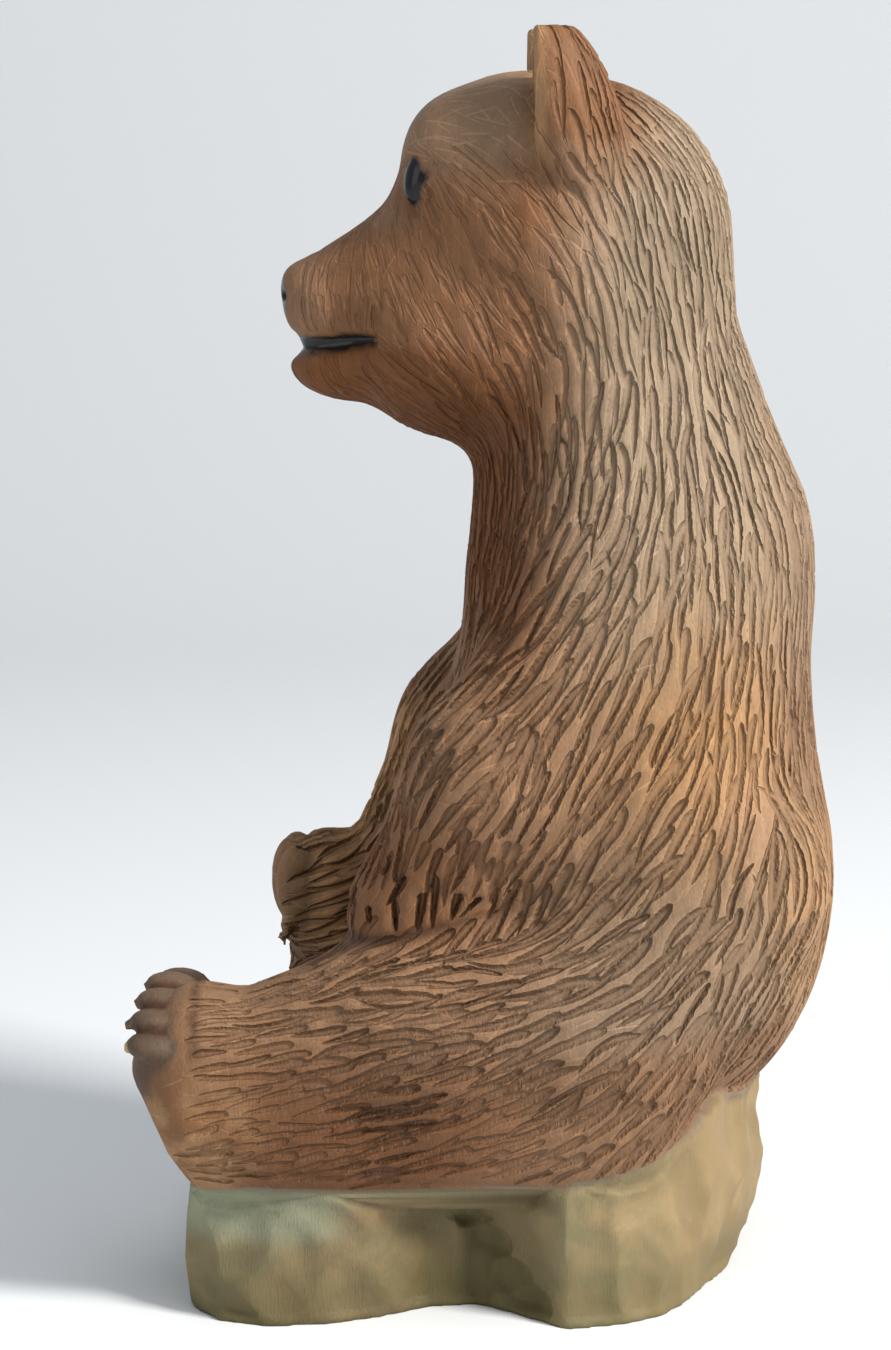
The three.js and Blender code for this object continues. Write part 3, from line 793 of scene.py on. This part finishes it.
    for name, values in masks.items():
        attribute = mesh.attributes.new(name, "FLOAT", "POINT")
        attribute.data.foreach_set("value", np.asarray(values, np.float32))


# Materials.


def add(tree, kind, inputs=None, output=0, **settings):
    """Adds a node with its settings. Each input is a value or another node's output."""
    node = tree.nodes.new("ShaderNode" + kind)
    for name, value in settings.items():
        setattr(node, name, value)
    for socket, value in (inputs or {}).items():
        if isinstance(value, bpy.types.NodeSocket):
            tree.links.new(value, node.inputs[socket])
        else:
            node.inputs[socket].default_value = value
    return node.outputs[output] if len(node.outputs) else node


def stained_limewood(colours):
    """Limewood carved with a gouge. An oil stain, rubbed thin on the flats and pooled in the cuts,
    gives the fur its browns; the cuts and creases are also darkened as painted shade, the rims of the
    cuts are paler partly as a painted highlight, and the far paw is lifted with painted light. The
    ground has a thin green wash that lets the bare wood through, darkened as painted shade in the
    hollow under the leg. Eyes, nose and mouth are black enamel."""
    material = bpy.data.materials.new("Limewood, gouge carved and oil stained")
    material.use_nodes = True
    t = material.node_tree
    t.nodes.clear()
    place = add(t, "TexCoord", output="Object")
    mask = {
        name: add(t, "Attribute", output="Fac", attribute_name=name)
        for name in (
            "away", "greyed", "amber", "deep", "torn", "black", "toe", "horn", "moss", "dry", "verdigris",
            "crease", "facet", "worn",
        )
    }

    # Patterns, each with its scale in repeats a metre. The growth rings run up the block, about 1.6 mm
    # apart. Pores and torn fibre are about 0.4 mm across the grain, drawn a little coarser than life.
    pattern = {}
    for name, scale, detail in (
        ("rings", (620, 620, 22), 4),
        ("fibre", (2400, 2400, 170), 3),
        ("torn", (2000, 2000, 330), 2),
        ("cloud", (34, 34, 22), 3),
        ("patch", (90, 90, 110), 5),
        ("speck", (1500, 1500, 900), 4),
        ("ragged", (1100, 1100, 700), 2),
    ):
        at = add(t, "Mapping", {"Vector": place, "Scale": scale})
        pattern[name] = add(
            t, "TexNoise", {"Vector": at, "Scale": 1.0, "Detail": detail, "Roughness": 0.6}
        )

    # The cuts: how far inside its two nearest strokes a place lies, in half widths, and the same for
    # the scratches.
    margins = []
    hollows = []
    for name in ("cut_a", "cut_b", "scratch_a", "scratch_b"):
        cut = add(t, "SeparateXYZ", {0: add(t, "Attribute", output="Vector", attribute_name=name)}).node
        along = add(t, "Clamp", {"Value": cut.outputs[0], "Min": -1.0, "Max": 1.0})
        fourth = add(t, "Math", {0: along, 1: 4.0}, operation="POWER")
        round_end = add(t, "Math", {0: 1.0, 1: fourth}, operation="SUBTRACT", use_clamp=True)
        round_end = add(t, "Math", {0: round_end}, operation="SQRT")
        thinner = add(t, "Math", {0: along, 1: -0.4, 2: 1.0}, operation="MULTIPLY_ADD")
        taper = add(t, "Math", {0: round_end, 1: thinner}, operation="MULTIPLY")
        off = add(t, "Math", {0: cut.outputs[1]}, operation="ABSOLUTE")
        margin = add(t, "Math", {0: taper, 1: off}, operation="SUBTRACT")
        margin = add(t, "Math", {0: pattern["ragged"], 1: 0.6, 2: margin}, operation="MULTIPLY_ADD")
        margin = add(t, "Math", {0: margin, 1: 0.3}, operation="SUBTRACT")
        inward = add(t, "MapRange", {"Value": margin, "From Max": 0.95})
        bowl = add(t, "Math", {0: 2.0, 1: inward}, operation="SUBTRACT")
        bowl = add(t, "Math", {0: bowl, 1: inward}, operation="MULTIPLY")
        hollows.append(add(t, "Math", {0: bowl, 1: cut.outputs[2]}, operation="MULTIPLY"))
        margins.append(margin)
    margin = add(t, "Math", {0: margins[0], 1: margins[1]}, operation="MAXIMUM")
    hollow = add(t, "Math", {0: hollows[0], 1: hollows[1]}, operation="MAXIMUM")
    walls = add(t, "MapRange", {"Value": margin, "From Min": 0.0, "From Max": 0.3})
    groove = add(t, "MapRange", {"Value": hollow, "From Min": 0.25, "From Max": 1.15})
    # The rims round the cuts, made paler below, partly as a painted highlight
    edge = add(t, "MapRange", {"Value": margin, "From Min": -0.45, "From Max": -0.05})
    edge = add(t, "Math", {0: edge, 1: walls}, operation="SUBTRACT", use_clamp=True)
    scratch = add(t, "Math", {0: margins[2], 1: margins[3]}, operation="MAXIMUM")
    scratch = add(t, "MapRange", {"Value": scratch, "From Min": 0.0, "From Max": 0.5})
    unpainted = add(t, "Math", {0: 1.0, 1: mask["black"]}, operation="SUBTRACT", use_clamp=True)

    # Fur: the stain's browns by place, its unevenness, paler rims partly as painted highlight, and cuts
    # darkened by pooled stain and painted shade.
    fur = add(t, "Mix", {0: mask["greyed"], 6: colours.brown, 7: colours.grey}, 2, data_type="RGBA")
    blotch = add(
        t, "MapRange",
        {"Value": pattern["patch"], "From Min": 0.3, "From Max": 0.66, "To Min": 0.45, "To Max": 1.15},
    )
    amber = add(t, "Math", {0: blotch, 1: mask["amber"]}, operation="MULTIPLY", use_clamp=True)
    fur = add(t, "Mix", {0: amber, 6: fur, 7: colours.amber}, 2, data_type="RGBA")
    fur = add(t, "Mix", {0: mask["deep"], 6: fur, 7: colours.deep}, 2, data_type="RGBA")
    tone = 1.0
    for name, low, dark, light in (
        ("cloud", 0.35, 0.84, 1.12), ("rings", 0.35, 0.9, 1.07), ("speck", 0.3, 0.9, 1.08)
    ):
        part = add(
            t, "MapRange",
            {
                "Value": pattern[name],
                "From Min": low,
                "From Max": 1 - low,
                "To Min": dark,
                "To Max": light,
            },
        )
        tone = add(t, "Math", {0: part, 1: tone}, operation="MULTIPLY")
    # Paler rims round the cuts: partly stain rubbed thin on the arrises, partly a painted highlight
    tone = add(t, "Math", {0: edge, 1: 0.2, 2: tone}, operation="MULTIPLY_ADD")
    tone = add(t, "Math", {0: scratch, 1: 0.34, 2: tone}, operation="MULTIPLY_ADD")
    fur = add(t, "VectorMath", {0: fur, "Scale": tone}, operation="SCALE")
    # Darker in the cuts, from stain pooled there and partly painted shade, and painted shade in the
    # creases
    pooled = add(t, "Math", {0: groove, 1: 0.3}, operation="MULTIPLY")
    pooled = add(
        t, "Math", {0: mask["crease"], 1: 0.75, 2: pooled}, operation="MULTIPLY_ADD", use_clamp=True
    )
    fur = add(t, "Mix", {0: pooled, 6: fur, 7: colours.pooled}, 2, data_type="RGBA")

    # Patches of deeper stain on the worn outer side of the foot.
    spots = add(
        t, "MapRange", {"Value": pattern["patch"], "From Min": 0.56, "From Max": 0.44, "To Max": 0.6}
    )
    spots = add(t, "Math", {0: spots, 1: mask["worn"]}, operation="MULTIPLY")
    fur = add(t, "Mix", {0: spots, 6: fur, 7: colours.deep}, 2, data_type="RGBA")

    # Fibres torn where the gouge crossed the grain: pale upright ticks in the cuts of the leg.
    ticks = add(t, "MapRange", {"Value": pattern["torn"], "From Min": 0.52, "From Max": 0.62})
    torn = add(t, "Math", {0: groove, 1: 0.3}, operation="ADD", use_clamp=True)
    torn = add(t, "Math", {0: torn, 1: mask["torn"]}, operation="MULTIPLY")
    ticks = add(t, "Math", {0: ticks, 1: torn}, operation="MULTIPLY")
    paler = add(t, "Math", {0: ticks, 1: 0.3}, operation="MULTIPLY")
    fur = add(t, "Mix", {0: paler, 6: fur, 7: colours.grey}, 2, data_type="RGBA")

    # Ground: bare wood under the wash, and the stain that bled into it round the fur.
    washed = add(
        t, "MapRange",
        {"Value": pattern["patch"], "From Min": 0.36, "From Max": 0.62, "To Min": 0.4, "To Max": 0.9},
    )
    rubbed = add(t, "Math", {0: mask["dry"], 1: -0.6, 2: 1.0}, operation="MULTIPLY_ADD")
    washed = add(t, "Math", {0: washed, 1: rubbed}, operation="MULTIPLY")
    ground = add(t, "Mix", {0: washed, 6: colours.bare, 7: colours.wash}, 2, data_type="RGBA")
    # Olive wash, partly painted shade in the hollow and the bites
    ground = add(t, "Mix", {0: mask["moss"], 6: ground, 7: colours.moss}, 2, data_type="RGBA")
    ground = add(t, "Mix", {0: mask["verdigris"], 6: ground, 7: colours.verdigris}, 2, data_type="RGBA")
    dull = add(
        t, "MapRange",
        {"Value": pattern["cloud"], "From Min": 0.35, "From Max": 0.65, "To Min": 0.9, "To Max": 1.08},
    )
    dull = add(t, "Math", {0: mask["facet"], 1: 0.09, 2: dull}, operation="MULTIPLY_ADD")
    ground = add(t, "VectorMath", {0: ground, "Scale": dull}, operation="SCALE")
    wander = add(t, "Math", {0: pattern["patch"], 1: 4.0, 2: -2.0}, operation="MULTIPLY_ADD")
    wander = add(t, "Math", {0: mask["away"], 1: wander}, operation="ADD")
    bled = add(t, "MapRange", {"Value": wander, "From Min": 2.6, "From Max": 0.4, "To Max": 0.7})
    ground = add(t, "Mix", {0: bled, 6: ground, 7: colours.bleed}, 2, data_type="RGBA")
    # Painted shade on the ledge under the leg, in the pooled colour
    shaded = add(t, "Math", {0: mask["crease"], 1: 0.6}, operation="MULTIPLY")
    ground = add(t, "Mix", {0: shaded, 6: ground, 7: colours.pooled}, 2, data_type="RGBA")
    line = add(t, "MapRange", {"Value": mask["away"], "From Min": 0.35, "From Max": 0.8})
    colour = add(t, "Mix", {0: line, 6: fur, 7: ground}, 2, data_type="RGBA")

    # Paints.
    # Painted shade between the toes and fingers, in the pooled colour
    toe = add(t, "Mix", {0: mask["crease"], 6: colours.toe, 7: colours.pooled}, 2, data_type="RGBA")
    toe = add(t, "VectorMath", {0: toe, "Scale": tone}, operation="SCALE")
    painted = add(
        t, "MapRange",
        {"Value": pattern["patch"], "From Min": 0.35, "From Max": 0.6, "To Min": 0.72, "To Max": 1.0},
    )
    painted = add(t, "Math", {0: painted, 1: mask["toe"]}, operation="MULTIPLY")
    colour = add(t, "Mix", {0: painted, 6: colour, 7: toe}, 2, data_type="RGBA")
    colour = add(t, "Mix", {0: mask["horn"], 6: colour, 7: colours.horn}, 2, data_type="RGBA")
    colour = add(t, "Mix", {0: mask["black"], 6: colour, 7: colours.black}, 2, data_type="RGBA")
    rough = add(t, "MapRange", {"Value": mask["black"], "To Min": 0.62, "To Max": 0.2})

    # Relief finer than the mesh, in millimetres: the cuts' walls and floors, tool chatter and fibre.
    furry = add(t, "Math", {0: 1.0, 1: line}, operation="SUBTRACT", use_clamp=True)
    height = add(t, "Math", {0: hollow, 1: -1.15}, operation="MULTIPLY")
    height = add(t, "Math", {0: height, 1: furry}, operation="MULTIPLY")
    rougher = add(t, "Math", {0: line, 1: -0.11, 2: 0.18}, operation="MULTIPLY_ADD")
    grit = add(t, "Math", {0: pattern["speck"], 1: rougher}, operation="MULTIPLY")
    for relief, much in (
        (walls, -0.05),
        (edge, 0.07),
        (pattern["fibre"], 0.12),
        (grit, 1.0),
        (ticks, 0.18),
        (scratch, -0.1),
    ):
        height = add(t, "Math", {0: relief, 1: much, 2: height}, operation="MULTIPLY_ADD")
    height = add(t, "Math", {0: height, 1: unpainted}, operation="MULTIPLY")
    bump = add(t, "Bump", {"Height": height, "Strength": 1.0, "Distance": MM})
    shader = add(
        t, "BsdfPrincipled",
        {"Base Color": colour, "Roughness": rough, "Normal": bump, "IOR": 1.5, "Specular IOR Level": 0.3},
    )
    add(t, "OutputMaterial", {"Surface": shader})
    return material


def matt_board(colours):
    """Board under and behind the figure, matt painted: one pale colour, no gloss."""
    material = bpy.data.materials.new("Board, matt painted")
    material.use_nodes = True
    shader = material.node_tree.nodes["Principled BSDF"]
    shader.inputs["Base Color"].default_value = colours.board
    shader.inputs["Roughness"].default_value = 0.7
    return material


class CARVED_OT_bear(bpy.types.Operator):
    """Carve the bear and its ground"""

    bl_idname = "carved.bear"
    bl_label = "Carve the bear"

    def execute(self, context):
        sizes = context.scene.bear_sizes
        random = np.random.default_rng(sizes.seed)
        piece = bpy.data.objects.new("Bear_with_ground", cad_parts[NODE].data.copy())
        context.scene.collection.objects.link(piece)
        bm = bmesh.new()
        bm.from_mesh(piece.data)
        bmesh.ops.remove_doubles(bm, verts=bm.verts, dist=1e-6)
        bm.to_mesh(piece.data)
        bm.free()
        piece.data.materials.clear()
        skin = sizes.skin * 1
        mesh = rebuild_skin(piece, skin * 1.7)
        write_points(mesh, settle(bear, read_points(mesh), 3, 1.6))
        mesh = rebuild_skin(piece, skin)
        write_points(mesh, settle(bear, read_points(mesh), 2, 1.2))
        ease_seam(mesh)
        p = read_points(mesh)
        n = read_normals(mesh)
        away = bear(p)
        strokes = lay_strokes(p, n, sizes, random) + lay_stop_cuts(random) + lay_lip_strokes(random)
        scratches = lay_scratches(p, n, random)
        q = p - np.array([0, 0, BASE_HEIGHT])
        furry = 1 - step(0.2, 0.7, np.maximum(away, fur_line(q)))
        depth = depth_of_strokes(p, n, strokes) * sizes.stroke_depth * furry
        depth = np.maximum(depth, mouth_depth(q))
        depth = np.maximum(depth, elbow_crease(q))
        parings = lay_parings(p, n, away, random)
        depth += pare(p, n, away, parings)[0]
        low, high = (np.array(corner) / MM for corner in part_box(NODE))
        carved = np.clip(p - n * depth[:, None], low + 0.02, high - 0.02)
        carved[p[:, 2] < 0.4, 2] = 0
        write_points(mesh, carved)
        thin = piece.modifiers.new("Thinned", "DECIMATE")
        thin.ratio = min(1.0, sizes.triangles / (2 * len(mesh.polygons)))
        mesh = apply_modifiers(piece)
        bm = bmesh.new()
        bm.from_mesh(mesh)
        bmesh.ops.triangulate(bm, faces=bm.faces)
        bm.to_mesh(mesh)
        bm.free()
        write_points(mesh, np.clip(read_points(mesh), low, high))
        mesh.polygons.foreach_set("use_smooth", [True] * len(mesh.polygons))
        write_masks(mesh, parings)
        write_strokes(mesh, strokes, ("cut_a", "cut_b"))
        write_strokes(mesh, scratches, ("scratch_a", "scratch_b"))
        mesh.materials.append(stained_limewood(context.scene.bear_colours))
        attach(piece, "root")
        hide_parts(NODE)
        return {"FINISHED"}


class CARVED_OT_stage(bpy.types.Operator):
    """Set the floor, the lights and the camera"""

    bl_idname = "carved.stage"
    bl_label = "Set the stage"

    def execute(self, context):
        scene = context.scene
        bm = bmesh.new()
        bmesh.ops.create_grid(bm, x_segments=90, y_segments=1, size=3.0)
        start = -0.9
        radius = 0.8
        for corner in bm.verts:
            run = start - corner.co.x
            if run > 0:
                angle = min(run / radius, math.pi / 2)
                corner.co.x = start - radius * math.sin(angle)
                corner.co.z = radius * (1 - math.cos(angle)) + max(0, run - radius * math.pi / 2)
        for face in bm.faces:
            face.smooth = True
        mesh = bpy.data.meshes.new("Board")
        bm.to_mesh(mesh)
        bm.free()
        mesh.materials.append(matt_board(scene.bear_colours))
        board = bpy.data.objects.new("Board", mesh)
        scene.collection.objects.link(board)
        scene.world = bpy.data.worlds.new("Studio")
        scene.world.use_nodes = True
        background = scene.world.node_tree.nodes["Background"]
        background.inputs["Color"].default_value = linear("#e3e8f0")
        background.inputs["Strength"].default_value = 0.45
        for name, place, watts, size, colour in (
            ("Window", (0.68, 1.12, 1.08), 41.0, 0.36, "#fffaf4"),
            ("Ceiling", (0.5, 0.1, 1.6), 6.0, 0.9, "#ffffff"),
            ("Room", (1.1, -1.4, 0.6), 6.0, 1.2, "#fbf8f2"),
        ):
            light = bpy.data.lights.new(name, "AREA")
            light.energy = watts
            light.size = size
            light.color = linear(colour)[:3]
            lamp = bpy.data.objects.new(name, light)
            lamp.location = place
            aim = Vector((0, 0.01, 0.15)) - Vector(place)
            lamp.rotation_euler = aim.to_track_quat("-Z", "Y").to_euler()
            scene.collection.objects.link(lamp)
        lens = bpy.data.cameras.new("Camera")
        lens.sensor_fit = "VERTICAL"
        lens.sensor_height = 36
        lens.lens = 89.1
        lens.clip_start = 0.05
        camera = bpy.data.objects.new("Camera", lens)
        camera.location = (0.8, 0, 0.285)
        camera.rotation_euler = (math.radians(90 - 9.9), 0, math.radians(90))
        scene.collection.objects.link(camera)
        scene.camera = camera
        scene.view_settings.view_transform = "Standard"
        return {"FINISHED"}


class CARVED_PT_bear(bpy.types.Panel):
    """Sizes, colours and the two steps"""

    bl_label = "Carved bear"
    bl_idname = "CARVED_PT_bear"
    bl_space_type = "VIEW_3D"
    bl_region_type = "UI"
    bl_category = "Carved bear"

    def draw(self, context):
        for group in (context.scene.bear_sizes, context.scene.bear_colours):
            for name in group.__annotations__:
                self.layout.prop(group, name)
        self.layout.operator("carved.bear")
        self.layout.operator("carved.stage")


CLASSES = (BearSizes, BearColours, CARVED_OT_bear, CARVED_OT_stage, CARVED_PT_bear)


def register():
    for cls in CLASSES:
        bpy.utils.register_class(cls)
    bpy.types.Scene.bear_sizes = bpy.props.PointerProperty(type=BearSizes)
    bpy.types.Scene.bear_colours = bpy.props.PointerProperty(type=BearColours)


def unregister():
    del bpy.types.Scene.bear_colours
    del bpy.types.Scene.bear_sizes
    for cls in reversed(CLASSES):
        bpy.utils.unregister_class(cls)


def main():
    register()
    bpy.ops.carved.bear()
    bpy.ops.carved.stage()


if __name__ == "__main__":
    main()
